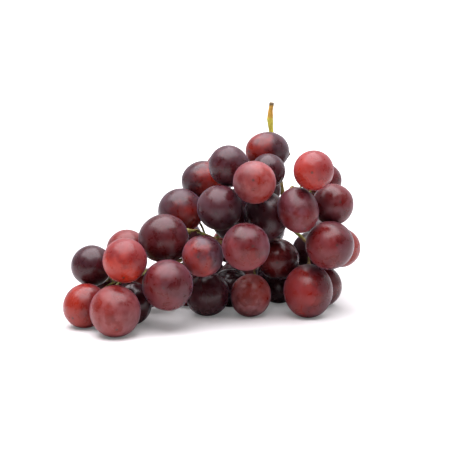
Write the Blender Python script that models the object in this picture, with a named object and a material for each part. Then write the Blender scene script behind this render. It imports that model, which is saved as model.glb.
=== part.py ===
"""A bunch of table grapes standing on a table: round berries on one branched stem.

Metres, +Z up. The origin is on the table, under the middle of the bunch's box.
+X runs to the broad shoulder end of the bunch, and -Y is its front.
"""
import math

import bmesh
import bpy
import numpy as np
from mathutils import Matrix, Vector

MM = 0.001

# Driving dimensions, in millimetres.
TABLE_FLAT_DEPTH = 0.5     # how far a berry that stands on the table is pressed flat
BERRY_GAP = 0.35           # clear space between neighbouring berries
STEM_GAP = 0.3             # clear space between a pedicel's cushion and its berry
STEM_CLEARANCE = 0.5       # clear space between the stem's sides and any berry
PEDUNCLE_RADIUS = 1.25     # the stalk that the bunch is held and cut by
RACHIS_RADIUS = 1.3        # the main axis where it enters the berries
RACHIS_TIP_RADIUS = 0.8
LATERAL_RADIUS = 0.95
PEDICEL_RADIUS = 0.6
CUSHION_RADIUS = 1.3       # the swollen end of a pedicel, which holds the berry
CUSHION_LENGTH = 1.6
PEDICEL_STRAIGHT = 3.0     # a pedicel leaves its berry square for this length
ROOT_SPACING = 2.6         # the least distance between the roots of two pedicels

# Facets of the solids.
BERRY_SEGMENTS = 14
BERRY_RINGS = 7
RACHIS_SIDES = 8
LATERAL_SIDES = 6
PEDICEL_SIDES = 5
PEDICEL_SPAN = 5.0         # about one ring of facets in this length

GOLDEN_ANGLE = math.radians(137.5)
ON_TABLE = None            # stands for the height of a berry that stands on the table

# Berries: name, centre x, y, z, diameter, length along the stem axis, and where the blossom
# end faces, as (right, up) in radii seen from the front. None faces away from the branch.
TOP_BERRIES = [
    ("berry_top", 30.5, 31, 87.5, 21.4, 26.4, (-0.80, 0.05)),
    ("berry_top_left", 9, 10, 82, 22.0, 22.6, None),
    ("berry_top_small", 30.5, 12, 79, 18.8, 19.2, (0.30, 0.10)),
    ("berry_top_front", 22.5, -8, 75.5, 23.0, 23.8, (-0.07, 0.23)),
    ("berry_left_shoulder", -5.5, 35, 69.5, 23.8, 25.6, (-0.75, 0.20)),
    ("berry_left_upper", -17.5, 18, 56, 25.0, 26.0, (-0.50, 0.35)),
    ("berry_left_front", 4, 0, 60.5, 24.4, 25.0, (-0.15, -0.10)),
    ("berry_heart", 29.5, 13, 54, 24.2, 27.4, (0.20, -0.80)),
    ("berry_behind_top", 27.6, 39, 65, 22.0, 22.6, None),
]
SHOULDER_BERRIES = [
    ("berry_shoulder_front", 54, -6, 81.5, 21.6, 22.4, (-0.14, 0.03)),
    ("berry_shoulder_right", 62.5, 31, 71, 19.4, 20.0, (0.80, 0.10)),
    ("berry_shoulder_low", 46, -5, 60, 22.0, 26.4, (0.25, -0.65)),
    ("berry_right_upper", 66, 12, 60.5, 22.8, 23.4, (0.27, 0.27)),
    ("berry_shoulder_back", 60, 49, 57, 22.0, 22.8, None),
    ("berry_back_upper", 24, 64, 58, 23.0, 23.4, None),
    ("berry_back_high", 7.5, 66, 70.5, 22.4, 23.4, None),
]
RIGHT_BERRIES = [
    ("berry_right_front", 63.5, -3, 40.5, 26.2, 26.8, (0.21, 0.19)),
    ("berry_right_red", 71.5, 24, 34, 22.2, 22.8, (0.85, 0.05)),
    ("berry_right_base", 52.5, 3, ON_TABLE, 27.0, 30.0, (-0.05, -0.80)),
    ("berry_right_base_back", 61, 27, ON_TABLE, 23.8, 24.6, (0.70, -0.30)),
    ("berry_right_inner", 36.6, 19, 28.2, 23.2, 23.8, (-0.10, 0.05)),
    ("berry_base_inner", 37.5, 35, ON_TABLE, 23.0, 23.4, None),
    ("berry_right_back", 57, 47, 28, 22.0, 23.0, None),
    ("berry_back_middle", 30, 66, 38.5, 22.4, 23.0, None),
    ("berry_back_low", 37, 60, ON_TABLE, 22.0, 22.6, None),
    ("berry_back_right_low", 60, 65, ON_TABLE, 22.6, 23.6, None),
    ("berry_back_right", 66, 69, 34, 22.0, 22.6, None),
]
MIDDLE_BERRIES = [
    ("berry_front", 18, -20, 43, 25.2, 25.8, (0.27, 0.20)),
    ("berry_front_left", -5, -15, 37, 22.2, 22.8, (-0.20, 0.15)),
    ("berry_base_left", -2.5, 5, ON_TABLE, 24.6, 25.4, (0.05, 0.10)),
    ("berry_base_front", 20.5, 4, ON_TABLE, 22.4, 24.6, (-0.19, -0.60)),
    ("berry_behind_front", 11, 29, 49.5, 24.0, 24.6, None),
    ("berry_base_dark", 10, 26, ON_TABLE, 21.8, 22.4, None),
    ("berry_base_sliver", -14, 28, ON_TABLE, 21.4, 22.0, None),
    ("berry_back_left", 3, 52, 54, 22.6, 23.4, None),
    ("berry_back_centre", 11, 64, 27.5, 22.4, 22.8, None),
    ("berry_back_base", 14, 49, ON_TABLE, 22.0, 22.8, None),
    ("berry_back_base_left", -4.5, 63, ON_TABLE, 22.6, 23.2, None),
    ("berry_back_base_far", 17, 75, ON_TABLE, 22.0, 22.4, None),
    ("berry_back_lower_left", -18, 57, 33, 23.0, 23.8, None),
    ("berry_back_left_base", -26, 47, ON_TABLE, 22.0, 22.8, None),
    ("berry_behind_left", -26, 33, 35.5, 23.2, 23.8, None),
]
TIP_BERRIES = [
    ("berry_left_middle", -26, -5, 44.5, 26.0, 27.4, (-0.94, -0.22)),
    ("berry_tip_right", -23, -30, 24.5, 26.6, 27.2, (-0.10, 0.10)),
    ("berry_tip_sliver", -47.5, 6, 35.5, 23.0, 23.6, (-0.20, 0.60)),
    ("berry_tip_upper", -45, -30, 37.5, 23.2, 23.6, (0.00, -0.60)),
    ("berry_tip_left", -64, -7, 29.1, 22.2, 22.8, (-0.50, 0.10)),
    ("berry_tip_base_left", -66, -20.5, ON_TABLE, 23.4, 24.6, (-0.45, -0.35)),
    ("berry_tip_base_front", -50, -38.5, ON_TABLE, 26.4, 27.6, (0.12, -0.50)),
    ("berry_tip_base_back", -44, -15, ON_TABLE, 23.0, 23.4, None),
    ("berry_tip_behind", -36, 14, 13, 22.0, 22.6, None),
    ("berry_tip_far", -62, 15, 19, 22.0, 22.6, None),
]
BERRIES = TOP_BERRIES + SHOULDER_BERRIES + RIGHT_BERRIES + MIDDLE_BERRIES + TIP_BERRIES

# The main axis: down from the cut end through the tall part, then along to the tip.
RACHIS_ROUTE = [
    (33.3, 45, 113.4), (32.4, 46, 104), (34, 46, 92), (37, 45, 76), (40, 44, 60), (39, 42, 47),
    (32, 36, 39), (18, 23, 36), (4, 9, 36), (-13, 1, 33), (-30, -9, 28), (-44, -13, 25), (-53, -16, 24),
]
PEDUNCLE_NODE_HEIGHT = 104  # the swollen joint in the stalk

# Side branches, each from a point on the main axis outward.
LATERAL_ROUTES = [
    [(36, 45, 80), (21, 46, 78), (12, 31, 72), (14, 17, 70), (16, 6, 67)],       # top
    [(40, 44, 60), (49, 34, 60), (54, 21, 63), (53, 11, 66)],                    # shoulder
    [(39, 42, 47), (47, 33, 41), (52, 22, 38), (55, 14, 33)],                    # right
    [(34, 38, 41), (36, 42, 33), (40, 46, 26), (46, 50, 20)],                    # right base
    [(36, 40, 43), (26, 46, 45), (14, 46, 41), (2, 44, 36), (-10, 42, 30)],      # back
    [(9, 14, 37), (0, 10, 42), (-8, 8, 46)],                                     # left upper
    [(16, 21, 37), (14, 9, 38), (13, 1, 37)],                                    # front
    [(24, 29, 37), (22, 36, 30), (18, 36, 24)],                                  # middle base
    [(40, 44, 56), (40, 54, 54), (44, 62, 56)],                                  # back shoulder
]

RACHIS_POINT_STEP = 6      # mm between the points that a branch is drawn from
LATERAL_POINT_STEP = 5
ROOT_POINT_STEP = 1.5      # mm between the places where a pedicel can start
GUARD_POINT_STEP = 2       # mm between the points that keep berries off a branch
FREE_RACHIS_START = 3      # no pedicel starts on the stalk above this point of the main axis
SETTLE_STEPS = 400         # rounds in which the berries are pushed apart
THREAD_STEPS = 60          # rounds in which a pedicel is pushed off the berries
ROUTE_POINTS = 13          # points on a pedicel while it is threaded between the berries
TRIED_BRANCH_POINTS = 12


class Berry:
    def __init__(self, name, x, y, z, diameter, length, face):
        self.name = name
        self.radius = diameter / 2
        self.length = length / 2
        self.on_table = z is ON_TABLE
        self.centre = np.array([x, y, 0 if self.on_table else z], float)
        self.axis = None
        if face is not None:
            right, up = face
            self.axis = np.array([right, -math.sqrt(1 - right * right - up * up), up])

    def standing_height(self):
        """The height of the centre when the berry is pressed flat on the table."""
        lift = (self.length ** 2 - self.radius ** 2) * self.axis[2] ** 2
        return math.sqrt(self.radius ** 2 + lift) - TABLE_FLAT_DEPTH


def unit(vector):
    return vector / np.linalg.norm(vector)


def smooth_route(points, spacing):
    """A Catmull-Rom curve through the points, read off at about even spacing."""
    points = [np.array(p, float) for p in points]
    points = [2 * points[0] - points[1]] + points + [2 * points[-1] - points[-2]]
    route = []
    for i in range(1, len(points) - 2):
        before, start, end, after = points[i - 1:i + 3]
        steps = max(2, round(np.linalg.norm(end - start) / spacing))
        for step in range(steps):
            t = step / steps
            route.append(0.5 * (2 * start + (end - before) * t
                                + (2 * before - 5 * start + 4 * end - after) * t * t
                                + (3 * start - before - 3 * end + after) * t ** 3))
    route.append(points[-2])
    return np.array(route)


def reach(offsets, axes, radii, lengths):
    """How far spheroids with these axes reach along each offset, and the offsets' lengths."""
    distances = np.linalg.norm(offsets, axis=-1)
    along = (offsets * axes).sum(axis=-1) / np.maximum(distances, 1e-9)
    across = np.maximum(0, 1 - along ** 2)
    return 1 / np.sqrt((along / lengths) ** 2 + across / radii ** 2), distances


def push_off_berries(route, free, berries, radius):
    """Moves each free point of a route out of the berries and off the table."""
    centres, axes, radii, lengths = berries
    offsets = route[:, None, :] - centres
    surface, distances = reach(offsets, axes, radii, lengths)
    short = np.maximum(0, surface + radius + STEM_CLEARANCE - distances)
    pushes = (offsets * (short / np.maximum(distances, 1e-9))[..., None]).sum(axis=1)
    route[free] += pushes[free]
    route[free, 2] = np.maximum(route[free, 2], radius + 1)


def thread(route, free, berries, radius):
    """Relaxes a route between the berries, keeping its held points."""
    for step in range(THREAD_STEPS):
        ease = 0.5 * (1 - step / THREAD_STEPS)
        middle = (route[:-2] + route[2:]) / 2 - route[1:-1]
        route[1:-1][free[1:-1]] += ease * middle[free[1:-1]]
        push_off_berries(route, free, berries, radius)
    return route


def arrays(berries):
    """Centres, axes, radii and half lengths of the berries, as arrays."""
    return (np.array([b.centre for b in berries]), np.array([b.axis for b in berries]),
            np.array([b.radius for b in berries]), np.array([b.length for b in berries]))


def settle(berries, branches):
    """Pushes crowded berries apart until each pair, and each branch, has its gap."""
    centres, axes, radii, lengths = arrays(berries)
    on_table = np.array([b.on_table for b in berries])
    lowest = np.array([b.standing_height() for b in berries])
    for _ in range(SETTLE_STEPS):
        offsets = centres[:, None, :] - centres[None, :, :]
        mine, distances = reach(-offsets, axes[:, None, :], radii[:, None], lengths[:, None])
        needed = mine + mine.T + BERRY_GAP
        short = np.maximum(0, needed - distances)
        np.fill_diagonal(short, 0)
        np.fill_diagonal(distances, 1)
        move = (offsets * (short / distances * 0.4)[..., None]).sum(axis=1)
        for points, radius in branches:
            away = centres[:, None, :] - points
            surface, gaps = reach(-away, axes[:, None, :], radii[:, None], lengths[:, None])
            short = np.maximum(0, surface + radius + STEM_CLEARANCE - gaps)
            nearest = np.argmax(short, axis=1)
            rows = np.arange(len(centres))
            step = away[rows, nearest] / gaps[rows, nearest, None]
            move += step * short[rows, nearest, None]
        centres += move
        centres[:, 2] = np.where(on_table, lowest, np.maximum(centres[:, 2], lowest))
    for berry, centre in zip(berries, centres):
        berry.centre = centre


def pedicel_route(berry, branch_points, roots, berries):
    """A pedicel from the berry's stem end to the branch point that it reaches most easily,
    clear of the roots that other pedicels have taken."""
    start = berry.centre - berry.axis * (berry.length + STEM_GAP)
    leave = start - berry.axis * PEDICEL_STRAIGHT
    straight = np.linalg.norm(branch_points - leave, axis=1)
    free = np.array([False, False] + [True] * (ROUTE_POINTS - 2) + [False])
    t = np.linspace(0, 1, ROUTE_POINTS)[:, None]
    for root in roots:
        taken = np.linalg.norm(branch_points - root, axis=1) < ROOT_SPACING
        straight = np.where(taken, np.inf, straight)
    best = None
    for i in np.argsort(straight)[:TRIED_BRANCH_POINTS]:
        lean = leave - berry.axis * straight[i] * 0.35
        route = (1 - t) ** 2 * leave + 2 * t * (1 - t) * lean + t ** 2 * branch_points[i]
        route = thread(np.vstack([start, route]), free, berries, PEDICEL_RADIUS)
        length = float(np.linalg.norm(np.diff(route, axis=0), axis=1).sum())
        if best is None or length < best[0]:
            best = (length, route)
    roots.append(best[1][-1])
    return best[1]


def ring_frames(route):
    """Two directions square to the route at each point, carried along without twist."""
    tangents = np.gradient(route, axis=0)
    side = np.cross(tangents[0], (0.3, 1.0, 0.2))
    frames = []
    for tangent in tangents:
        forward = unit(tangent)
        side = unit(side - forward * float(side @ forward))
        frames.append((side, np.cross(forward, side)))
    return frames


def tube(name, route, radii, sides, turn=0.0):
    """A closed tube along a route in millimetres, with its own radius at each point."""
    mesh = bpy.data.meshes.new(name)
    shape = bmesh.new()
    rings = []
    for point, radius, (side, up) in zip(route, radii, ring_frames(route)):
        ring = []
        for i in range(sides):
            angle = 2 * math.pi * i / sides + turn
            place = point + radius * (math.cos(angle) * side + math.sin(angle) * up)
            ring.append(shape.verts.new(place))
        rings.append(ring)
    for lower, upper in zip(rings, rings[1:]):
        for i in range(sides):
            j = (i + 1) % sides
            shape.faces.new((lower[i], lower[j], upper[j], upper[i]))
    shape.faces.new(list(reversed(rings[0])))
    shape.faces.new(rings[-1])
    shape.to_mesh(mesh)
    shape.free()
    piece = bpy.data.objects.new(name, mesh)
    bpy.context.scene.collection.objects.link(piece)
    return piece


def finish(name, colour, roughness):
    """A material with one colour and roughness."""
    material = bpy.data.materials.new(name)
    material.use_nodes = True
    shader = material.node_tree.nodes["Principled BSDF"]
    shader.inputs["Base Color"].default_value = (*colour, 1)
    shader.inputs["Roughness"].default_value = roughness
    shader.inputs["Metallic"].default_value = 0
    return material


def make_berry(berry):
    """One berry: a spheroid on its stem axis, cut flat where it stands on the table."""
    shape = bmesh.new()
    bmesh.ops.create_uvsphere(shape, u_segments=BERRY_SEGMENTS, v_segments=BERRY_RINGS, radius=1)
    turn = Vector((0, 0, 1)).rotation_difference(Vector(berry.axis)).to_matrix()
    for vertex in shape.verts:
        x, y, z = vertex.co
        local = Vector((x * berry.radius, y * berry.radius, z * berry.length))
        vertex.co = (turn @ local + Vector(berry.centre)) * MM
    if berry.on_table:
        cut = bmesh.ops.bisect_plane(
            shape, geom=shape.verts[:] + shape.edges[:] + shape.faces[:], dist=1e-6,
            plane_co=(0, 0, 0), plane_no=(0, 0, 1), clear_inner=True)
        rim = [item for item in cut["geom_cut"] if isinstance(item, bmesh.types.BMEdge)]
        flats = bmesh.ops.edgeloop_fill(shape, edges=rim)["faces"]
        bmesh.ops.reverse_faces(shape, faces=[face for face in flats if face.normal.z > 0])
    mesh = bpy.data.meshes.new(berry.name)
    shape.to_mesh(mesh)
    shape.free()
    mesh.shade_smooth()
    piece = bpy.data.objects.new(berry.name, mesh)
    bpy.context.scene.collection.objects.link(piece)
    piece.data.materials.append(finish(berry.name + "_skin", (0.22, 0.035, 0.05), 0.35))
    return piece


def lerp(start, end, amount):
    return start + (end - start) * amount


def rachis_radii(route):
    """Stout in the stalk with a swollen joint, then tapering to the tip."""
    lengths = np.concatenate([[0], np.linalg.norm(np.diff(route, axis=0), axis=1).cumsum()])
    radii = []
    for point, length in zip(route, lengths):
        radius = lerp(RACHIS_RADIUS, RACHIS_TIP_RADIUS, length / lengths[-1])
        if point[2] > PEDUNCLE_NODE_HEIGHT:
            radius = PEDUNCLE_RADIUS
        swelling = math.exp(-((point[2] - PEDUNCLE_NODE_HEIGHT) / 2.5) ** 2)
        radii.append(radius + 0.45 * swelling)
    return radii


def make_stem(branches, pedicels):
    """The peduncle, main axis, side branches and pedicels, joined into one solid."""
    parts = bpy.data.collections.new("stem_branches")
    pieces = []
    rachis = branches[0][0]
    stem = tube("stem", rachis, rachis_radii(rachis), RACHIS_SIDES)
    for i, (route, radius) in enumerate(branches[1:]):
        radii = [lerp(radius, radius * 0.8, k / (len(route) - 1)) for k in range(len(route))]
        pieces.append(tube(f"branch_{i}", route, radii, LATERAL_SIDES, GOLDEN_ANGLE * i))
    for i, route in enumerate(pedicels):
        turn = GOLDEN_ANGLE * i
        neck = route[0] + unit(route[1] - route[0]) * CUSHION_LENGTH
        length = np.linalg.norm(np.diff(route, axis=0), axis=1).sum()
        spans = min(4, max(1, round(length / PEDICEL_SPAN)))
        kept = np.linspace(1, len(route) - 1, spans + 1).round().astype(int)[1:]
        points = np.vstack([route[0], neck, route[kept]])
        radii = [CUSHION_RADIUS] + [PEDICEL_RADIUS] * (len(points) - 1)
        pieces.append(tube(f"pedicel_{i}", points, radii, PEDICEL_SIDES, turn))
    for piece in pieces:
        bpy.context.scene.collection.objects.unlink(piece)
        parts.objects.link(piece)
    join = stem.modifiers.new("join", "BOOLEAN")
    join.operation = "UNION"
    join.solver = "EXACT"
    join.operand_type = "COLLECTION"
    join.use_self = True
    join.collection = parts
    joined = bpy.data.meshes.new_from_object(
        stem.evaluated_get(bpy.context.evaluated_depsgraph_get()))
    stem.modifiers.clear()
    stem.data = joined
    for piece in pieces:
        bpy.data.objects.remove(piece)
    bpy.data.collections.remove(parts)
    joined.transform(Matrix.Scale(MM, 4))
    joined.shade_smooth()
    joined.set_sharp_from_angle(angle=math.radians(50))
    joined.materials.clear()
    joined.materials.append(finish("stem_skin", (0.35, 0.33, 0.08), 0.6))
    return stem


def stand_on_origin(pieces):
    """Moves the meshes together until the origin is under the middle of their box."""
    corners = [vertex.co for piece in pieces for vertex in piece.data.vertices]
    low = Vector(min(corner[axis] for corner in corners) for axis in range(3))
    high = Vector(max(corner[axis] for corner in corners) for axis in range(3))
    shift = Vector((-(low.x + high.x) / 2, -(low.y + high.y) / 2, -low.z))
    for piece in pieces:
        piece.data.transform(Matrix.Translation(shift))


def main():
    for thing in list(bpy.data.objects):
        bpy.data.objects.remove(thing)
    branches = [(smooth_route(RACHIS_ROUTE, RACHIS_POINT_STEP), RACHIS_RADIUS)]
    branches += [(smooth_route(route, LATERAL_POINT_STEP), LATERAL_RADIUS) for route in LATERAL_ROUTES]
    lower_rachis = smooth_route(RACHIS_ROUTE[FREE_RACHIS_START:], ROOT_POINT_STEP)
    branch_points = np.vstack([lower_rachis[:-1]]
                              + [smooth_route(route, ROOT_POINT_STEP)[2:-1] for route in LATERAL_ROUTES])
    berries = [Berry(*row) for row in BERRIES]
    for berry in berries:
        if berry.on_table:
            berry.centre[2] = berry.radius - TABLE_FLAT_DEPTH
        if berry.axis is None:
            nearest = np.argmin(np.linalg.norm(branch_points - berry.centre, axis=1))
            berry.axis = unit(berry.centre - branch_points[nearest])
    guards = [(smooth_route(RACHIS_ROUTE, GUARD_POINT_STEP), RACHIS_RADIUS)]
    guards += [(smooth_route(route, GUARD_POINT_STEP), LATERAL_RADIUS) for route in LATERAL_ROUTES]
    settle(berries, guards)
    solids = arrays(berries)
    roots = []
    pedicels = [pedicel_route(berry, branch_points, roots, solids) for berry in berries]

    pieces = [make_berry(berry) for berry in berries]
    pieces.append(make_stem(branches, pedicels))
    stand_on_origin(pieces)


main()
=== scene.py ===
import math
import random

import bpy
import numpy as np
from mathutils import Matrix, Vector, noise


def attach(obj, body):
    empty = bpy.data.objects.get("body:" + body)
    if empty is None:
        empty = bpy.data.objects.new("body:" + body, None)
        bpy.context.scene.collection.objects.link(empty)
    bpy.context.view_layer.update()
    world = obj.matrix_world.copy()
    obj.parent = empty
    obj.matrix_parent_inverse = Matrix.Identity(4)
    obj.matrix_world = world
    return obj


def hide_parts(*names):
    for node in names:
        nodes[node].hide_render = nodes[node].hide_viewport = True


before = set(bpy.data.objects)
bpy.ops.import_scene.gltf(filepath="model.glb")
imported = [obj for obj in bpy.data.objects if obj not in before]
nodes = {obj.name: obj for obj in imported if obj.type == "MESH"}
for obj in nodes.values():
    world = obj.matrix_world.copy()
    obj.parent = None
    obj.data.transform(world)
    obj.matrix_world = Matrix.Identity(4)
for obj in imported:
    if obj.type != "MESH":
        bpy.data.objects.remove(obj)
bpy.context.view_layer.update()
mm = 0.001
stemNode = nodes["stem"]
berryNames = sorted(name for name in nodes if name.startswith("berry"))
print("frame loaded:", len(berryNames), "berries and a stem")


def feed(tree, socket, value):
    # a socket takes a link from another node, or a plain value
    if isinstance(value, bpy.types.NodeSocket):
        tree.links.new(value, socket)
    else:
        socket.default_value = value


def addNode(tree, kind, inputs=None, **settings):
    made = tree.nodes.new(kind)
    for key, value in settings.items():
        setattr(made, key, value)
    for key, value in (inputs or {}).items():
        feed(tree, made.inputs[key], value)
    return made


def compute(tree, operation, a, b, clamp=False):
    return addNode(tree, "ShaderNodeMath", {0: a, 1: b},
                   operation=operation, use_clamp=clamp).outputs[0]


def plus(tree, a, b):
    return compute(tree, "ADD", a, b)


def minus(tree, a, b):
    return compute(tree, "SUBTRACT", a, b)


def times(tree, a, b, clamp=False):
    return compute(tree, "MULTIPLY", a, b, clamp)


def asColour(value):
    return value if isinstance(value, bpy.types.NodeSocket) else (*value, 1)


def mixColours(tree, factor, a, b, blend="MIX"):
    made = addNode(tree, "ShaderNodeMix", {"Factor": factor}, data_type="RGBA", blend_type=blend)
    colourA, colourB = made.inputs[6], made.inputs[7]
    feed(tree, colourA, asColour(a))
    feed(tree, colourB, asColour(b))
    return made.outputs[2]


def ramp(tree, value, low, high, toLow=0.0, toHigh=1.0, smooth=True):
    made = addNode(tree, "ShaderNodeMapRange", {
        "Value": value, "From Min": low, "From Max": high, "To Min": toLow, "To Max": toHigh})
    made.interpolation_type = "SMOOTHSTEP" if smooth else "LINEAR"
    return made.outputs["Result"]


def newGroup(name, inputs, outputs):
    tree = bpy.data.node_groups.new(name, "ShaderNodeTree")
    for label, value in inputs.items():
        kind = "NodeSocketVector" if value is None else "NodeSocketFloat"
        socket = tree.interface.new_socket(name=label, in_out="INPUT", socket_type=kind)
        if value is not None:
            socket.default_value = value
    for label in outputs:
        tree.interface.new_socket(name=label, in_out="OUTPUT", socket_type="NodeSocketFloat")
    start = tree.nodes.new("NodeGroupInput")
    end = tree.nodes.new("NodeGroupOutput")
    return tree, start.outputs, end.inputs


def useGroup(tree, group, inputs):
    made = tree.nodes.new("ShaderNodeGroup")
    made.node_tree = group
    for key, value in inputs.items():
        feed(tree, made.inputs[key], value)
    return made.outputs


patchNoise = {
    "roughness": 0.6,
    "distortion": 0.35,
    "noCover": 0.78,        # noise level of a patch's edge at a cover of 0
    "coverSpan": 0.56,      # how far that level falls up to a cover of 1
}


def buildPatches():
    # soft-edged patches: 1 inside a patch, 0 outside
    s = patchNoise
    tree, given, out = newGroup("softPatches", {
        "Vector": None, "Seed": 0.0, "Scale": 0.2, "Cover": 0.5, "Softness": 0.1, "Detail": 3.0},
        ("Mask", "Value"))
    texture = addNode(tree, "ShaderNodeTexNoise", {
        "Vector": given["Vector"], "W": given["Seed"], "Scale": given["Scale"],
        "Detail": given["Detail"], "Roughness": s["roughness"], "Distortion": s["distortion"]},
        noise_dimensions="4D")
    level = texture.outputs["Fac"]
    middle = minus(tree, s["noCover"], times(tree, given["Cover"], s["coverSpan"]))
    low = minus(tree, middle, given["Softness"])
    high = plus(tree, middle, given["Softness"])
    tree.links.new(ramp(tree, level, low, high), out["Mask"])
    tree.links.new(level, out["Value"])
    return tree


def buildDots():
    # small round spots at about one spacing from each other
    coreShare = 0.45        # of a spot's radius, before it fades
    tree, given, out = newGroup("smallDots", {
        "Vector": None, "Seed": 0.0, "Spacing": 2.0, "Size": 0.2}, ("Mask",))
    cells = addNode(tree, "ShaderNodeTexVoronoi", {
        "Vector": given["Vector"], "W": given["Seed"],
        "Scale": compute(tree, "DIVIDE", 1.0, given["Spacing"])}, voronoi_dimensions="4D")
    distance = times(tree, cells.outputs["Distance"], given["Spacing"])
    core = times(tree, given["Size"], coreShare)
    tree.links.new(ramp(tree, distance, given["Size"], core), out["Mask"])
    return tree


softPatches = buildPatches()
smallDots = buildDots()


def addPatches(tree, vector, seed, shape):
    return useGroup(tree, softPatches, {"Vector": vector, "Seed": seed, **shape})


def addDots(tree, vector, seed, shape):
    return useGroup(tree, smallDots, {"Vector": vector, "Seed": seed, **shape})["Mask"]


bloomShape = {
    "clouds": {"Scale": 0.11, "Cover": 0.5, "Softness": 0.22, "Detail": 2.5},
    "smears": {"Scale": 0.34, "Cover": 0.55, "Softness": 0.2, "Detail": 4.0},
    "smearStretch": (1.0, 1.0, 0.4),
    "smearSeed": 7.0,
    "smearShare": 0.45,
    "rubbed": {"Scale": 0.16, "Softness": 0.07, "Detail": 3.5},
    "rubbedSeed": 13.0,
    "rubbedLoss": 0.8,
    "grain": {"Scale": 1.9, "Cover": 0.5, "Softness": 0.3, "Detail": 4.0},
    "grainLow": 0.8,
    "grainSpan": 0.4,
}


def buildBloom():
    # the pale wax on a grape: a thin even film, thicker clouds, and rubbed places with almost none
    s = bloomShape
    tree, given, out = newGroup("waxBloom", {
        "Vector": None, "Seed": 0.0, "Film": 0.4, "Clouds": 0.5, "Rubbed": 0.3}, ("Mask", "Grain"))
    vector, seed = given["Vector"], given["Seed"]
    clouds = addPatches(tree, vector, seed, s["clouds"])
    streaked = addNode(tree, "ShaderNodeMapping", {"Vector": vector, "Scale": s["smearStretch"]})
    smears = addPatches(tree, streaked.outputs[0], plus(tree, seed, s["smearSeed"]), s["smears"])
    rubbed = addPatches(tree, vector, plus(tree, seed, s["rubbedSeed"]),
                        {"Cover": given["Rubbed"], **s["rubbed"]})
    grain = addPatches(tree, vector, seed, s["grain"])
    cloud = times(tree, clouds["Mask"], given["Clouds"])
    smear = times(tree, times(tree, smears["Mask"], s["smearShare"]), given["Clouds"])
    total = plus(tree, given["Film"], plus(tree, cloud, smear))
    kept = minus(tree, 1.0, times(tree, rubbed["Mask"], s["rubbedLoss"]))
    grained = plus(tree, s["grainLow"], times(tree, grain["Value"], s["grainSpan"]))
    mask = times(tree, times(tree, total, kept), grained, clamp=True)
    tree.links.new(mask, out["Mask"])
    tree.links.new(grain["Value"], out["Grain"])
    return tree


waxBloom = buildBloom()
print("shared effects ready")


def newMaterial(name):
    material = bpy.data.materials.new(name)
    material.use_nodes = True
    tree = material.node_tree
    shader = tree.nodes["Principled BSDF"]
    return material, tree, shader


def objectMm(tree):
    # object coordinates, in millimetres
    place = addNode(tree, "ShaderNodeTexCoord").outputs["Object"]
    return addNode(tree, "ShaderNodeVectorMath", {0: place, 1: (1 / mm, 1 / mm, 1 / mm)},
                   operation="MULTIPLY").outputs[0]


def ownValue(tree, name, output="Fac"):
    return addNode(tree, "ShaderNodeAttribute", attribute_type="OBJECT",
                   attribute_name=name).outputs[output]


def greyColour(tree, level):
    return addNode(tree, "ShaderNodeCombineXYZ", {0: level, 1: level, 2: level}).outputs[0]


def addBump(tree, shader, height, strength, depth):
    bump = addNode(tree, "ShaderNodeBump", {
        "Height": height, "Strength": strength, "Distance": depth})
    tree.links.new(bump.outputs[0], shader.inputs["Normal"])


def setConstants(shader, values):
    for label, value in values.items():
        shader.inputs[label].default_value = value


skinKinds = {
    "plumSkin": {
        "skin": (0.033, 0.0024, 0.0044), "blush": (0.085, 0.0040, 0.0024),
        "bloom": (0.300, 0.220, 0.290), "film": 0.008, "clouds": 0.09, "rubbed": 0.42},
    "garnetSkin": {
        "skin": (0.066, 0.0026, 0.0034), "blush": (0.200, 0.0080, 0.0026),
        "bloom": (0.400, 0.200, 0.260), "film": 0.005, "clouds": 0.10, "rubbed": 0.46},
    "twoToneSkin": {
        "skin": (0.034, 0.0028, 0.0050), "blush": (0.215, 0.0110, 0.0030),
        "bloom": (0.340, 0.240, 0.310), "film": 0.008, "clouds": 0.11, "rubbed": 0.44},
    "roseSkin": {
        "skin": (0.130, 0.0070, 0.0064), "blush": (0.280, 0.0160, 0.0036),
        "bloom": (0.560, 0.280, 0.300), "film": 0.012, "clouds": 0.14, "rubbed": 0.46},
}

# the marks that all skins share, with sizes in mm
skinMarks = {
    "sidePull": 0.06,           # how fast the blush grows towards its own side
    "cloudPull": 1.8,           # how much noise clouds its edge
    "cloudMiddle": 0.9,
    "cloud": {"Scale": 0.12, "Cover": 0.5, "Softness": 0.2, "Detail": 3.0},
    "cloudSeed": 3.0,
    "blushFrom": -0.25,
    "blushTo": 0.55,
    "fleck": {"Scale": 0.55, "Cover": 0.22, "Softness": 0.09, "Detail": 4.0},
    "fleckSeed": 21.0,
    "fleckStrength": 0.25,
    "fleckShade": 0.45,
    "bruise": {"Spacing": 6.5, "Size": 0.9},
    "bruiseSeed": 5.0,
    "bruiseStrength": 0.4,
    "bruiseShade": 0.3,
    "scarRim": 0.95,
    "scarCore": 0.5,
    "scarStrength": 0.85,
    "scarColour": (0.035, 0.014, 0.008),
    "pore": {"Spacing": 1.9, "Size": 0.22},
    "poreStrength": 0.28,
    "poreColour": (0.55, 0.36, 0.30),
    "waxedFrom": 0.07,          # wax at which the skin is fully matt
    "bareRoughness": 0.22,
    "waxedRoughness": 0.40,
    "grainHeight": 0.5,
    "poreHeight": 0.5,
    "scarHeight": 2.5,
    "bumpStrength": 0.35,
    "bumpDepth": 0.12 * mm,
}

skinConstants = {
    "Subsurface Weight": 0.15,
    "Subsurface Radius": (1.0, 0.22, 0.12),
    "Subsurface Scale": 0.0025,
    "Sheen Weight": 0.10,
    "Sheen Roughness": 0.4,
    "Sheen Tint": (0.78, 0.70, 1.0, 1),
    "IOR": 1.4,
}


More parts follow.
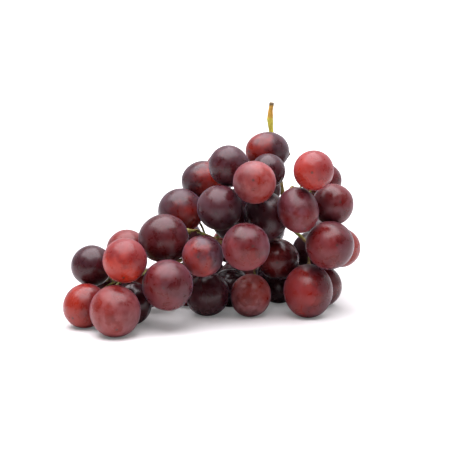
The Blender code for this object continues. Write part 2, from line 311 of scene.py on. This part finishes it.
def buildSkin(name, look):
    s = skinMarks
    material, tree, shader = newMaterial(name)
    place = objectMm(tree)
    seed = ownValue(tree, "seed")
    # one side of each berry is redder than the other, with a cloudy edge between them
    towards = ownValue(tree, "blushSide", "Vector")
    side = addNode(tree, "ShaderNodeVectorMath", {0: place, 1: towards},
                   operation="DOT_PRODUCT").outputs["Value"]
    cloud = addPatches(tree, place, plus(tree, seed, s["cloudSeed"]), s["cloud"])["Value"]
    edge = plus(tree, times(tree, side, s["sidePull"]),
                minus(tree, times(tree, cloud, s["cloudPull"]), s["cloudMiddle"]))
    blush = times(tree, ramp(tree, edge, s["blushFrom"], s["blushTo"]), ownValue(tree, "blush"))
    colour = mixColours(tree, blush, look["skin"], look["blush"])
    # darker flecks and clouds inside the skin
    flecks = addPatches(tree, place, plus(tree, seed, s["fleckSeed"]), s["fleck"])["Mask"]
    colour = mixColours(tree, times(tree, flecks, s["fleckStrength"]), colour,
                        tuple(v * s["fleckShade"] for v in look["skin"]))
    bruises = addDots(tree, place, plus(tree, seed, s["bruiseSeed"]), s["bruise"])
    colour = mixColours(tree, times(tree, bruises, s["bruiseStrength"]), colour,
                        tuple(v * s["bruiseShade"] for v in look["skin"]))
    # brown scar where the flower was, at the far end from the stalk
    tip = ownValue(tree, "tip", "Vector")
    toTip = addNode(tree, "ShaderNodeVectorMath", {0: place, 1: tip},
                    operation="DISTANCE").outputs["Value"]
    scar = ramp(tree, toTip, s["scarRim"], s["scarCore"])
    colour = mixColours(tree, times(tree, scar, s["scarStrength"]), colour, s["scarColour"])
    # shade of the whole berry
    colour = mixColours(tree, 1.0, colour, greyColour(tree, ownValue(tree, "shade")), "MULTIPLY")
    # wax bloom over it all, and pale pores
    amount = ownValue(tree, "bloom")
    wax = useGroup(tree, waxBloom, {
        "Vector": place, "Seed": seed, "Film": times(tree, amount, look["film"]),
        "Clouds": times(tree, amount, look["clouds"]), "Rubbed": look["rubbed"]})
    colour = mixColours(tree, wax["Mask"], colour, look["bloom"])
    pores = addDots(tree, place, seed, s["pore"])
    colour = mixColours(tree, times(tree, pores, s["poreStrength"]), colour, s["poreColour"])
    tree.links.new(colour, shader.inputs["Base Color"])
    roughness = ramp(tree, wax["Mask"], 0.0, s["waxedFrom"],
                     s["bareRoughness"], s["waxedRoughness"], smooth=False)
    tree.links.new(roughness, shader.inputs["Roughness"])
    height = plus(tree, times(tree, wax["Grain"], s["grainHeight"]),
                  plus(tree, times(tree, pores, s["poreHeight"]),
                       times(tree, scar, s["scarHeight"])))
    addBump(tree, shader, height, s["bumpStrength"], s["bumpDepth"])
    setConstants(shader, skinConstants)
    return material


skins = {name: buildSkin(name, look) for name, look in skinKinds.items()}
print("skins:", ", ".join(skins))

# kind of skin, shade, strength of the redder side, where that side faces as seen from the front
# (degrees, 0 right, 90 up), bloom
berryLooks = {
    "berry_top": ("twoToneSkin", 1.05, 1.0, 205, 0.6),
    "berry_top_left": ("plumSkin", 1.15, 0.35, 290, 0.85),
    "berry_top_small": ("plumSkin", 0.95, 0.15, 0, 0.55),
    "berry_top_front": ("roseSkin", 0.95, 0.7, 340, 1.1),
    "berry_shoulder_front": ("roseSkin", 1.5, 0.6, 200, 0.5),
    "berry_shoulder_right": ("garnetSkin", 1.25, 0.4, 200, 0.55),
    "berry_left_shoulder": ("twoToneSkin", 1.0, 1.0, 350, 0.5),
    "berry_left_upper": ("twoToneSkin", 1.05, 0.9, 300, 0.7),
    "berry_left_front": ("plumSkin", 1.15, 0.2, 90, 0.85),
    "berry_heart": ("plumSkin", 0.9, 0.2, 0, 0.5),
    "berry_shoulder_low": ("garnetSkin", 1.0, 0.4, 270, 1.4),
    "berry_right_upper": ("garnetSkin", 0.95, 0.3, 60, 0.9),
    "berry_left_middle": ("garnetSkin", 0.75, 0.35, 280, 0.55),
    "berry_tip_sliver": ("roseSkin", 0.85, 0.4, 180, 0.5),
    "berry_tip_upper": ("roseSkin", 1.3, 1.0, 235, 0.45),
    "berry_tip_left": ("plumSkin", 1.0, 0.3, 270, 0.4),
    "berry_tip_base_left": ("roseSkin", 1.0, 0.9, 190, 0.4),
    "berry_tip_base_front": ("roseSkin", 0.85, 0.6, 200, 1.0),
    "berry_tip_base_back": ("plumSkin", 0.9, 0.2, 270, 0.2),
    "berry_tip_right": ("garnetSkin", 0.85, 0.5, 200, 1.0),
    "berry_front_left": ("twoToneSkin", 1.15, 1.0, 215, 1.2),
    "berry_front": ("garnetSkin", 1.0, 0.6, 250, 1.1),
    "berry_right_inner": ("garnetSkin", 0.7, 0.4, 160, 0.3),
    "berry_right_front": ("garnetSkin", 1.0, 0.5, 180, 0.9),
    "berry_right_red": ("roseSkin", 0.9, 0.6, 0, 0.35),
    "berry_base_left": ("plumSkin", 1.1, 0.2, 180, 0.4),
    "berry_base_front": ("roseSkin", 0.75, 0.9, 60, 1.7),
    "berry_right_base": ("garnetSkin", 1.15, 0.9, 185, 0.9),
    "berry_right_base_back": ("garnetSkin", 0.9, 0.2, 0, 0.6),
    "berry_base_inner": ("plumSkin", 0.8, 0.1, 0, 0.3),
    "berry_behind_front": ("plumSkin", 0.9, 0.1, 0, 0.4),
    "berry_behind_top": ("plumSkin", 0.9, 0.1, 0, 0.4),
    "berry_base_dark": ("plumSkin", 0.8, 0.1, 0, 0.3),
    "berry_base_sliver": ("garnetSkin", 1.0, 0.9, 180, 0.3),
}

# what the berries without a row above are drawn from
backBerries = {
    "seed": 11,
    "kinds": ("plumSkin", "plumSkin", "garnetSkin", "garnetSkin", "twoToneSkin", "roseSkin"),
    "shade": (0.8, 1.15),
    "blush": (0.1, 0.9),
    "facing": (0, 360),
    "bloom": (0.4, 0.8),
}

berryShape = {
    "around": 64,
    "along": 44,
    "poleFineness": 0.62,      # share of the rings' spacing taken from the two ends
    "eggTaper": 0.018,         # the blossom end is a little narrower than the stalk end
    "dimpleDepth": 0.55 * mm,
    "dimpleRadius": 1.9 * mm,
    "flatDepth": 0.22 * mm,
    "flatRadius": 3.0 * mm,
    "scarDepth": 0.12 * mm,
    "scarRadius": 0.55 * mm,
    "unevenDepth": 0.16 * mm,
    "unevenScale": 95.0,       # lumps for each metre
    "rippleDepth": 0.035 * mm,
    "rippleScale": 330.0,
    "seedShift": (3.7, 1.3, 2.1),
    "firstSeed": 3.0,
    "seedStep": 1.37,
    "frontShare": -0.35,       # every redder side also turns a little to the front
    "scarInset": 0.2,          # mm
}

# how a berry's spheroid and its stalk end are found from the CAD
berryFit = {
    "tableSkip": 0.02 * mm,    # points lower than this are on the flat under the berry
    "searchRadius": 20,        # mm
    "endSlack": 0.02,
    "longEnough": 1.02,        # ratio from which two axes of a spheroid differ
    "nearAxis": 0.9,
    "offAxis": (0.3, 0.5, 0.81),
}


def addObject(name, data):
    made = bpy.data.objects.new(name, data)
    bpy.context.scene.collection.objects.link(made)
    return made


def vertexArray(obj):
    found = np.zeros(len(obj.data.vertices) * 3)
    obj.data.vertices.foreach_get("co", found)
    return found.reshape(-1, 3)


def fitSpheroid(points):
    # centre, and matrix of the ellipsoid through a node's round points, by least squares
    middle = (points.min(0) + points.max(0)) / 2
    p = (points - middle) / mm
    x, y, z = p.T
    terms = np.column_stack([x * x, y * y, z * z, 2 * x * y, 2 * x * z, 2 * y * z,
                             2 * x, 2 * y, 2 * z])
    a = np.linalg.lstsq(terms, np.ones(len(p)), rcond=None)[0]
    form = np.array([[a[0], a[3], a[4]], [a[3], a[1], a[5]], [a[4], a[5], a[2]]])
    centre = -np.linalg.solve(form, a[6:9])
    form = form / (1 + centre @ form @ centre)
    return middle + centre * mm, form


def stalkSide(centre, form, stemPoints):
    # direction from the berry's centre to the nearest end of a pedicel
    s = berryFit
    away = (stemPoints - centre) / mm
    near = away[np.einsum("ij,ij->i", away, away) < s["searchRadius"] ** 2]
    gap = np.sqrt(np.einsum("ij,jk,ik->i", near, form, near)) - 1
    end = near[gap < gap.min() + s["endSlack"]].mean(0)
    direction = end / np.linalg.norm(end)
    values, axes = np.linalg.eigh(form)
    if max(values[1] / values[0], values[2] / values[1]) > s["longEnough"]:
        # a berry that isn't round has its stalk on one of its own axes
        dots = axes.T @ direction
        best = int(np.argmax(np.abs(dots)))
        if abs(dots[best]) > s["nearAxis"]:
            direction = axes[:, best] * np.sign(dots[best])
    return direction


def ringAngles():
    # angle from the blossom end and angle around, for each point; a single point at each end
    s = berryShape
    angles = []
    for i in range(s["along"] + 1):
        t = i / s["along"]
        angle = math.pi * (t - s["poleFineness"] * math.sin(2 * math.pi * t) / (2 * math.pi))
        count = 1 if i in (0, s["along"]) else s["around"]
        for j in range(count):
            angles.append((angle, 2 * math.pi * j / s["around"]))
    return np.array(angles).T


def ringFaces(last):
    s = berryShape
    width = s["around"]
    faces = []
    for j in range(width):
        k = (j + 1) % width
        faces.append((0, 1 + j, 1 + k))
        for i in range(s["along"] - 2):
            a = 1 + i * width
            faces.append((a + j, a + width + j, a + width + k, a + k))
        a = 1 + (s["along"] - 2) * width
        faces.append((last, a + k, a + j))
    return faces


def smoothMesh(mesh):
    mesh.polygons.foreach_set("use_smooth", [True] * len(mesh.polygons))
    mesh.update()


def berryMesh(name, radius, half, seed, turn, centre):
    # rings of points from the blossom end to the stalk end, then turned to the berry's own lean
    s = berryShape
    angle, around = ringAngles()
    wide = radius * np.sin(angle) * (1 - s["eggTaper"] * np.cos(angle))
    tall = half * np.cos(angle)
    stalk = s["dimpleDepth"] * np.exp(-(wide / s["dimpleRadius"]) ** 2) * (tall < 0)
    blossom = (s["flatDepth"] * np.exp(-(wide / s["flatRadius"]) ** 2)
               + s["scarDepth"] * np.exp(-(wide / s["scarRadius"]) ** 2)) * (tall > 0)
    points = np.column_stack([wide * np.cos(around), wide * np.sin(around), tall + stalk - blossom])
    outward = points / np.linalg.norm(points, axis=1)[:, None]
    shift = Vector(seed * share for share in s["seedShift"])
    for k, (p, n) in enumerate(zip(points, outward)):
        v = Vector(p)
        lump = s["unevenDepth"] * noise.noise(v * s["unevenScale"] + shift)
        lump += s["rippleDepth"] * noise.noise(v * s["rippleScale"] + shift)
        points[k] = p + n * lump
    points = points @ np.array(turn).T
    # pressed flat where it stands on the table
    points[:, 2] = np.maximum(points[:, 2], -centre[2])
    mesh = bpy.data.meshes.new(name)
    mesh.from_pydata(points.tolist(), [], ringFaces(len(points) - 1))
    smoothMesh(mesh)
    return mesh


def drawnLook(chance):
    s = backBerries
    return (chance.choice(s["kinds"]), chance.uniform(*s["shade"]), chance.uniform(*s["blush"]),
            chance.uniform(*s["facing"]), chance.uniform(*s["bloom"]))


stemPoints = vertexArray(stemNode)
stalkEnds = []
chance = random.Random(backBerries["seed"])
for number, name in enumerate(berryNames):
    points = vertexArray(nodes[name])
    centre, form = fitSpheroid(points[points[:, 2] > berryFit["tableSkip"]])
    stalk = stalkSide(centre, form, stemPoints)
    half = mm / math.sqrt(stalk @ form @ stalk)
    across = np.cross(stalk, berryFit["offAxis"])
    across /= np.linalg.norm(across)
    radius = mm / math.sqrt(across @ form @ across)
    turn = Vector(-stalk).to_track_quat("Z", "Y").to_matrix()
    kind, shade, blush, facing, bloom = berryLooks.get(name) or drawnLook(chance)
    seed = berryShape["firstSeed"] + number * berryShape["seedStep"]
    berry = addObject("grape_" + name[len("berry_"):],
                      berryMesh(name, radius, half, seed, turn, centre))
    berry.location = centre
    towards = math.radians(facing)
    toSide = Vector((math.cos(towards), berryShape["frontShare"], math.sin(towards))).normalized()
    berry["seed"] = seed
    berry["shade"] = shade
    berry["blush"] = blush
    berry["bloom"] = bloom
    berry["blushSide"] = list(toSide)
    berry["tip"] = list(Vector(-stalk) * (half / mm - berryShape["scarInset"]))
    berry.data.materials.append(skins[kind])
    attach(berry, "root")
    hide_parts(name)
    stalkEnds.append((Vector(centre), Vector(stalk), half))
print("berries built")

stemShape = {
    "collarRadius": 1.85 * mm,
    "collarSides": 14,
    # mm out from the berry's end, share of the collar's radius
    "collarProfile": ((-0.75, 0.45), (-0.45, 0.75), (0.05, 1.0), (0.5, 0.95), (0.95, 0.72),
                      (1.5, 0.5), (2.0, 0.42)),
    "collarWave": 0.05,
    "collarWaves": 3,
    "collarWaveShift": 900,     # radians for each metre of x, so that no two collars are alike
    "swelling": 0.12 * mm,
    "voxel": 0.22 * mm,
    "smoothing": 3,
    "smoothingShare": 0.5,
    "roughDepth": 0.10 * mm,
    "roughScale": 900.0,
    "roughStretch": 0.4,        # the roughness runs along upright branches
    "knotDepth": 0.22 * mm,
    "knotScale": 260.0,
}


def addCollar(points, faces, centre, stalk, half):
    # the swollen ring that holds the berry
    s = stemShape
    turn = stalk.to_track_quat("Z", "Y").to_matrix()
    first = len(points)
    sides = s["collarSides"]
    shift = centre.x * s["collarWaveShift"]
    for out, share in s["collarProfile"]:
        for j in range(sides):
            angle = 2 * math.pi * j / sides
            wave = 1 + s["collarWave"] * math.sin(s["collarWaves"] * angle + shift)
            reach = s["collarRadius"] * share * wave
            spot = Vector((reach * math.cos(angle), reach * math.sin(angle), half + out * mm))
            points.append(centre + turn @ spot)
    spans = len(s["collarProfile"]) - 1
    for i in range(spans):
        for j in range(sides):
            k = (j + 1) % sides
            a = first + i * sides
            faces.append((a + j, a + k, a + sides + k, a + sides + j))
    faces.append(tuple(first + sides - 1 - j for j in range(sides)))
    faces.append(tuple(first + spans * sides + j for j in range(sides)))


def buildStem():
    # the CAD stem and the collars, swollen and remeshed into one skin
    s = stemShape
    points = [v.co.copy() for v in stemNode.data.vertices]
    faces = [tuple(p.vertices) for p in stemNode.data.polygons]
    for centre, stalk, half in stalkEnds:
        addCollar(points, faces, centre, stalk, half)
    raw = bpy.data.meshes.new("stemRaw")
    raw.from_pydata(points, [], faces)
    holder = addObject("stemRaw", raw)
    swell = holder.modifiers.new("swell", "DISPLACE")
    swell.strength = s["swelling"]
    swell.mid_level = 0.0
    remesh = holder.modifiers.new("oneSkin", "REMESH")
    remesh.mode = "VOXEL"
    remesh.voxel_size = s["voxel"]
    smooth = holder.modifiers.new("soften", "SMOOTH")
    smooth.factor = s["smoothingShare"]
    smooth.iterations = s["smoothing"]
    evaluated = holder.evaluated_get(bpy.context.evaluated_depsgraph_get())
    mesh = bpy.data.meshes.new_from_object(evaluated)
    bpy.data.objects.remove(holder)
    moved = []
    for v in mesh.vertices:
        along = Vector((v.co.x, v.co.y, v.co.z * s["roughStretch"]))
        rough = noise.noise(along * s["roughScale"])
        knots = max(0.0, noise.noise(v.co * s["knotScale"]))
        moved.extend(v.co + v.normal * (rough * s["roughDepth"] + knots * s["knotDepth"]))
    mesh.vertices.foreach_set("co", moved)
    smoothMesh(mesh)
    mesh.name = "stem"
    return mesh


stemLook = {
    "young": (0.600, 0.540, 0.060),     # yellow-green stalk above the bunch
    "shadedInnerGreen": (0.230, 0.225, 0.045),     # inner branches: their own green, painted darker as the shade inside the bunch
    "russet": (0.230, 0.095, 0.035),
    "dry": (0.600, 0.300, 0.040),       # orange-brown length near the cut
    "cut": (0.170, 0.120, 0.060),
    "innerShadeTop": 82.0,                   # heights in mm
    "stalkFoot": 99.0,
    "dryFoot": 105.0,
    "dryTop": 108.0,
    "cutFoot": 112.8,
    "cutTop": 114.2,
    "dryStrength": 0.85,
    "mottle": {"Scale": 0.14, "Cover": 0.45, "Softness": 0.14, "Detail": 4.0},
    "mottleSeed": 2.0,
    "heightWave": 3.0,                  # mm by which the mottle shifts these heights
    "fibre": {"Scale": 1.5, "Cover": 0.4, "Softness": 0.15, "Detail": 3.0},
    "fibreSeed": 9.0,
    "fibreStretch": (1.0, 1.0, 0.22),
    "fibreStrength": 0.35,
    "fibreColour": (0.06, 0.035, 0.015),
    "wart": {"Spacing": 1.3, "Size": 0.2},
    "wartSeed": 4.0,
    "wartStrength": 0.5,
    "wartColour": (0.09, 0.05, 0.02),
    "wartHeight": 0.6,
    "roughnessFrom": (0.3, 0.7),        # fibre noise
    "roughnessTo": (0.5, 0.72),
    "bumpStrength": 0.5,
    "bumpDepth": 0.2 * mm,
}

stemConstants = {
    "Subsurface Weight": 0.08,
    "Subsurface Radius": (0.6, 0.7, 0.2),
    "Subsurface Scale": 0.001,
}


def buildStemMaterial():
    look = stemLook
    material, tree, shader = newMaterial("stemBark")
    place = objectMm(tree)
    height = addNode(tree, "ShaderNodeSeparateXYZ", {0: place}).outputs["Z"]
    mottle = addPatches(tree, place, look["mottleSeed"], look["mottle"])
    colour = mixColours(tree, mottle["Mask"], look["shadedInnerGreen"], look["russet"])
    # upwards: inner branches painted darker as shade, young stalk, dry length, cut end
    wavy = plus(tree, height, times(tree, mottle["Value"], look["heightWave"]))
    # painted shade: below this height the stem takes a darker green for the shaded inside of the
    # bunch
    young = ramp(tree, wavy, look["innerShadeTop"], look["stalkFoot"])
    colour = mixColours(tree, young, colour, look["young"])
    dry = times(tree, ramp(tree, wavy, look["dryFoot"], look["dryTop"]), look["dryStrength"])
    colour = mixColours(tree, dry, colour, look["dry"])
    cut = ramp(tree, wavy, look["cutFoot"], look["cutTop"])
    colour = mixColours(tree, cut, colour, look["cut"])
    stretched = addNode(tree, "ShaderNodeMapping", {
        "Vector": place, "Scale": look["fibreStretch"]}).outputs[0]
    fibres = addPatches(tree, stretched, look["fibreSeed"], look["fibre"])
    colour = mixColours(tree, times(tree, fibres["Mask"], look["fibreStrength"]), colour,
                        look["fibreColour"])
    warts = addDots(tree, place, look["wartSeed"], look["wart"])
    colour = mixColours(tree, times(tree, warts, look["wartStrength"]), colour, look["wartColour"])
    tree.links.new(colour, shader.inputs["Base Color"])
    roughness = ramp(tree, fibres["Value"], *look["roughnessFrom"], *look["roughnessTo"])
    tree.links.new(roughness, shader.inputs["Roughness"])
    bumpHeight = plus(tree, fibres["Value"], times(tree, warts, look["wartHeight"]))
    addBump(tree, shader, bumpHeight, look["bumpStrength"], look["bumpDepth"])
    setConstants(shader, stemConstants)
    return material


stem = addObject("grape_stem", buildStem())
stem.data.materials.append(buildStemMaterial())
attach(stem, "root")
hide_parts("stem")
print("stem built:", len(stem.data.vertices), "points")

tableLook = {
    "size": 6.0,
    "drop": 0.02 * mm,                  # keeps the table clear of the berries' flats
    "colour": (0.70, 0.695, 0.69),
    "fibre": {"Scale": 40.0, "Cover": 0.5, "Softness": 0.3, "Detail": 2.0},
    "fibreSeed": 1.0,
    "fibreShade": 0.995,
    "glowFrom": 0.2,                    # metres from the middle
    "glowTo": 0.6,
    "glowNear": 0.13,
    "glowFar": 1.0,
}

tableConstants = {
    "Emission Strength": 1.0,
    "Roughness": 0.85,
    "Specular IOR Level": 0.2,
}


def buildTable():
    s = tableLook
    half = s["size"] / 2
    mesh = bpy.data.meshes.new("table")
    corners = [(-half, -half, 0), (half, -half, 0), (half, half, 0), (-half, half, 0)]
    mesh.from_pydata(corners, [], [(0, 1, 2, 3)])
    table = addObject("table", mesh)
    table.location.z = -s["drop"]
    material, tree, shader = newMaterial("tablePaper")
    place = addNode(tree, "ShaderNodeTexCoord").outputs["Object"]
    paper = addPatches(tree, place, s["fibreSeed"], s["fibre"])["Mask"]
    darker = tuple(v * s["fibreShade"] for v in s["colour"])
    tree.links.new(mixColours(tree, paper, s["colour"], darker), shader.inputs["Base Color"])
    # the table glows a little in the camera's eye, more so far off, like a lit white sweep
    away = addNode(tree, "ShaderNodeVectorMath", {0: place}, operation="LENGTH").outputs["Value"]
    level = ramp(tree, away, s["glowFrom"], s["glowTo"], s["glowNear"], s["glowFar"])
    seen = addNode(tree, "ShaderNodeLightPath").outputs["Is Camera Ray"]
    glow = greyColour(tree, times(tree, level, seen))
    tree.links.new(glow, shader.inputs["Emission Color"])
    setConstants(shader, tableConstants)
    mesh.materials.append(material)


skyLook = {
    "top": 0.9,
    "topFrom": 0.45,            # heights of a direction, 0 level, 1 straight up
    "topTo": 0.95,
    "back": 0.45,
    "backTo": 0.8,
    "left": 0.25,
    "right": 0.55,
    "leftTo": -0.6,
    "rightTo": 0.8,
    "front": 0.05,
    "frontTo": -0.8,
    "colour": (0.97, 0.98, 1.0, 1),
    "seenColour": (1, 1, 1, 1),
    "seenLevel": 1.05,
}


def buildSky():
    # bright above and behind, dark in front near the horizon; the backdrop that is seen is white
    s = skyLook
    world = bpy.data.worlds.new("studio")
    bpy.context.scene.world = world
    world.use_nodes = True
    tree = world.node_tree
    tree.nodes.clear()
    direction = addNode(tree, "ShaderNodeTexCoord").outputs["Generated"]
    parts = addNode(tree, "ShaderNodeSeparateXYZ", {0: direction}).outputs
    side = ramp(tree, parts["X"], s["leftTo"], s["rightTo"], s["left"], s["right"])
    notFront = ramp(tree, parts["Y"], s["frontTo"], 0.0)
    level = plus(tree, s["front"], times(tree, notFront, side))
    level = plus(tree, level, ramp(tree, parts["Y"], 0.0, s["backTo"], 0.0, s["back"]))
    high = ramp(tree, parts["Z"], s["topFrom"], s["topTo"])
    level = plus(tree, times(tree, level, minus(tree, 1.0, high)), times(tree, high, s["top"]))
    soft = addNode(tree, "ShaderNodeBackground", {"Color": s["colour"], "Strength": level})
    plain = addNode(tree, "ShaderNodeBackground", {
        "Color": s["seenColour"], "Strength": s["seenLevel"]})
    rays = addNode(tree, "ShaderNodeLightPath")
    both = addNode(tree, "ShaderNodeMixShader", {
        0: rays.outputs["Is Camera Ray"], 1: soft.outputs[0], 2: plain.outputs[0]})
    end = tree.nodes.new("ShaderNodeOutputWorld")
    tree.links.new(both.outputs[0], end.inputs["Surface"])


def aim(obj, place, target):
    obj.location = place
    obj.rotation_mode = "QUATERNION"
    obj.rotation_quaternion = (Vector(target) - Vector(place)).to_track_quat("-Z", "Y")


lightSetting = {
    "power": 17.6,
    "size": 1.0,
    "place": (-0.04, -0.04, 0.75),
    "target": (0, -0.01, 0.05),
    "colour": (1.0, 0.945, 1.0),
}


def buildLight():
    s = lightSetting
    light = bpy.data.lights.new("softbox", "AREA")
    light.shape = "RECTANGLE"
    light.size = s["size"]
    light.size_y = s["size"]
    light.energy = s["power"]
    light.color = s["colour"]
    aim(addObject("softbox", light), s["place"], s["target"])


cameraSetting = {
    "lens": 103.0,
    "sensor": 36.0,
    "nearest": 0.01,
    "farthest": 20.0,
    "distance": 700 * mm,
    "elevation": 10.0,
    "target": (5.72 * mm, -16.49 * mm, 50.2 * mm),
}


def buildCamera():
    s = cameraSetting
    camera = bpy.data.cameras.new("camera")
    camera.lens = s["lens"]
    camera.sensor_width = s["sensor"]
    camera.clip_start = s["nearest"]
    camera.clip_end = s["farthest"]
    tilt = math.radians(s["elevation"])
    target = Vector(s["target"])
    place = target + Vector((0, -math.cos(tilt), math.sin(tilt))) * s["distance"]
    holder = addObject("camera", camera)
    aim(holder, place, target)
    bpy.context.scene.camera = holder


buildTable()
buildSky()
buildLight()
buildCamera()
bpy.context.scene.view_settings.view_transform = "Standard"
bpy.context.scene.view_settings.look = "None"
print("table, light and camera placed")
